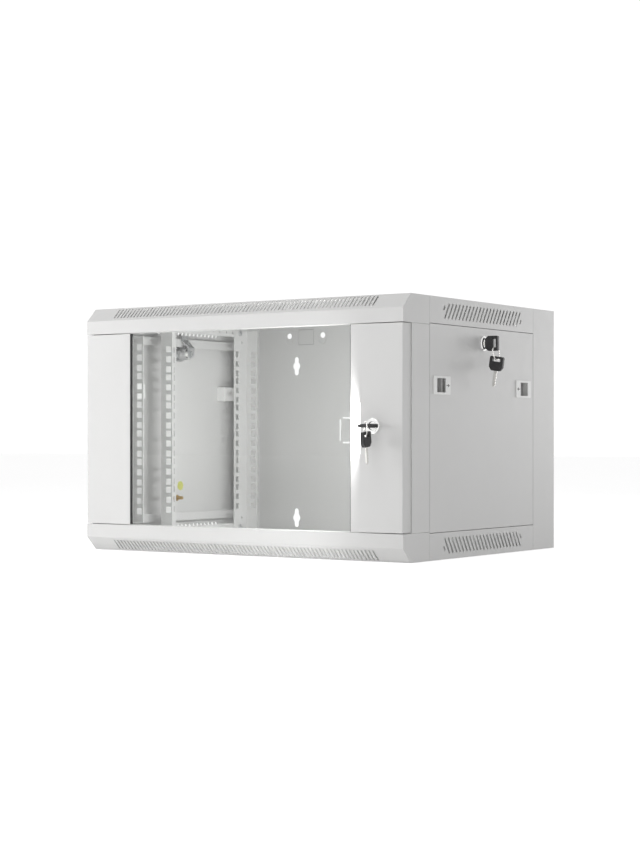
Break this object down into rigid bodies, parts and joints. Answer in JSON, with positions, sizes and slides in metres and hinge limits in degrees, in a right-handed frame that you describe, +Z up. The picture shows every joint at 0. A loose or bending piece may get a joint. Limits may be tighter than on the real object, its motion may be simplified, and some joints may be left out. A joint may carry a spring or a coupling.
{
  "type": "wall mount network cabinet",
  "caption": "Grey steel wall cabinet for rack equipment: glazed lockable door, vented sloping edges, latched removable side panels, adjustable rails and wall keyholes",
  "frame": {"origin": "centre of the wall face of the cabinet", "axes": "+X is the cabinet's right seen from the front, +Y points into the wall, +Z is up"},
  "size_m": [0.6057, 0.4859, 0.37],
  "materials": {
    "grey_paint": "light grey powder coat, finely textured, half matt",
    "glass": "clear toughened glass with a faint green edge",
    "black_rubber": "black soft edge strip",
    "key_plastic": "black moulded plastic",
    "nickel": "nickel-plated steel",
    "latch_plastic": "light grey moulded plastic",
    "slider_plastic": "darker grey moulded plastic, finely ribbed",
    "lock_chrome": "bright chromed zinc casting",
    "brass": "bare brass",
    "zinc": "bright zinc plate"
  },
  "bodies": {
    "cabinet": {"front_top_trim": "grey_paint", "front_bottom_trim": "grey_paint", "front_post_left": "grey_paint", "front_post_right": "grey_paint", "roof_panel": "grey_paint", "floor_panel": "grey_paint", "rear_pan": "grey_paint", "side_panel_left": "grey_paint", "side_panel_right": "grey_paint", "depth_bracket_roof_left": "grey_paint", "depth_bracket_roof_right": "grey_paint", "depth_bracket_floor_left": "grey_paint", "depth_bracket_floor_right": "grey_paint", "front_rail_left": "grey_paint", "front_rail_right": "grey_paint", "rear_rail_left": "grey_paint", "rear_rail_right": "grey_paint", "rail_screws": "zinc", "roof_entry_cover": "grey_paint", "floor_entry_cover": "grey_paint", "entry_cover_screws": "zinc", "latch_housing_left_front": "latch_plastic", "latch_housing_left_rear": "latch_plastic", "latch_housing_right_front": "latch_plastic", "latch_housing_right_rear": "latch_plastic", "side_lock_left_body": "lock_chrome", "side_lock_right_body": "lock_chrome", "side_lock_nuts": "lock_chrome", "earth_stud": "brass"},
    "door": {"door_band_left": "grey_paint", "door_band_right": "grey_paint", "door_glass": "glass", "glass_seals": "black_rubber", "glass_clamps": "grey_paint", "glass_clamp_screws": "zinc", "hinge_plates": "grey_paint", "hinge_pins": "zinc", "door_lock_body": "lock_chrome", "door_lock_nut": "lock_chrome"},
    "door_lock_core": {"door_lock_plug": "lock_chrome", "door_lock_cam": "lock_chrome"},
    "door_key": {"door_key_head": "key_plastic", "door_key_blade": "nickel"},
    "door_ring": {"door_key_ring": "nickel"},
    "door_spare_key": {"door_spare_key_head": "key_plastic", "door_spare_key_blade": "nickel"},
    "side_lock_core_left": {"side_lock_left_plug": "lock_chrome", "side_lock_left_cam": "lock_chrome"},
    "side_lock_core_right": {"side_lock_right_plug": "lock_chrome", "side_lock_right_cam": "lock_chrome"},
    "side_key": {"side_key_head": "key_plastic", "side_key_blade": "nickel"},
    "side_ring": {"side_key_ring": "nickel"},
    "side_spare_key": {"side_spare_key_head": "key_plastic", "side_spare_key_blade": "nickel"},
    "latch_left_front": {"latch_slider_left_front": "slider_plastic"},
    "latch_left_rear": {"latch_slider_left_rear": "slider_plastic"},
    "latch_right_front": {"latch_slider_right_front": "slider_plastic"},
    "latch_right_rear": {"latch_slider_right_rear": "slider_plastic"}
  },
  "joints": [
    {"name": "door_hinge", "type": "hinge", "parent": "cabinet", "child": "door", "pos_m": [-0.2795, -0.441, 0], "axis": [0, 0, -1], "range_deg": [0, 180]},
    {"name": "door_lock_turn", "type": "hinge", "parent": "door", "child": "door_lock_core", "pos_m": [0.236, -0.45, 0.003], "axis": [0, -1, 0], "range_deg": [0, 90]},
    {"name": "door_key_slide", "type": "slide", "parent": "door_lock_core", "child": "door_key", "axis": [0, -1, 0], "range_m": [0, 0.026]},
    {"name": "door_ring_swing", "type": "hinge", "parent": "door_key", "child": "door_ring", "pos_m": [0.234, -0.4681, 0.003], "axis": [0, 0, 1], "range_deg": [-15, 15]},
    {"name": "door_spare_key_swing", "type": "hinge", "parent": "door_ring", "child": "door_spare_key", "pos_m": [0.23995, -0.47448, -0.01095], "axis": [0.682, -0.7314, 0], "range_deg": [-15, 20]},
    {"name": "side_lock_left_turn", "type": "hinge", "parent": "cabinet", "child": "side_lock_core_left", "pos_m": [-0.285, -0.225, 0.1245], "axis": [-1, 0, 0], "range_deg": [0, 90]},
    {"name": "side_lock_right_turn", "type": "hinge", "parent": "cabinet", "child": "side_lock_core_right", "pos_m": [0.285, -0.225, 0.1245], "axis": [1, 0, 0], "range_deg": [0, 90]},
    {"name": "side_key_slide", "type": "slide", "parent": "side_lock_core_right", "child": "side_key", "axis": [1, 0, 0], "range_m": [0, 0.026]},
    {"name": "side_ring_swing", "type": "hinge", "parent": "side_key", "child": "side_ring", "pos_m": [0.3036, -0.225, 0.1195], "axis": [0, 1, 0], "range_deg": [-15, 10]},
    {"name": "side_spare_key_swing", "type": "hinge", "parent": "side_ring", "child": "side_spare_key", "pos_m": [0.30697, -0.225, 0.10039], "axis": [0, 1, 0], "range_deg": [-20, 20]},
    {"name": "latch_left_front_slide", "type": "slide", "parent": "cabinet", "child": "latch_left_front", "axis": [0, 1, 0], "range_m": [0, 0.007], "stiffness_N_per_m": 300, "springref_m": -0.004},
    {"name": "latch_left_rear_slide", "type": "slide", "parent": "cabinet", "child": "latch_left_rear", "axis": [0, -1, 0], "range_m": [0, 0.007], "stiffness_N_per_m": 300, "springref_m": -0.004},
    {"name": "latch_right_front_slide", "type": "slide", "parent": "cabinet", "child": "latch_right_front", "axis": [0, 1, 0], "range_m": [0, 0.007], "stiffness_N_per_m": 300, "springref_m": -0.004},
    {"name": "latch_right_rear_slide", "type": "slide", "parent": "cabinet", "child": "latch_right_rear", "axis": [0, -1, 0], "range_m": [0, 0.007], "stiffness_N_per_m": 300, "springref_m": -0.004}
  ]
}
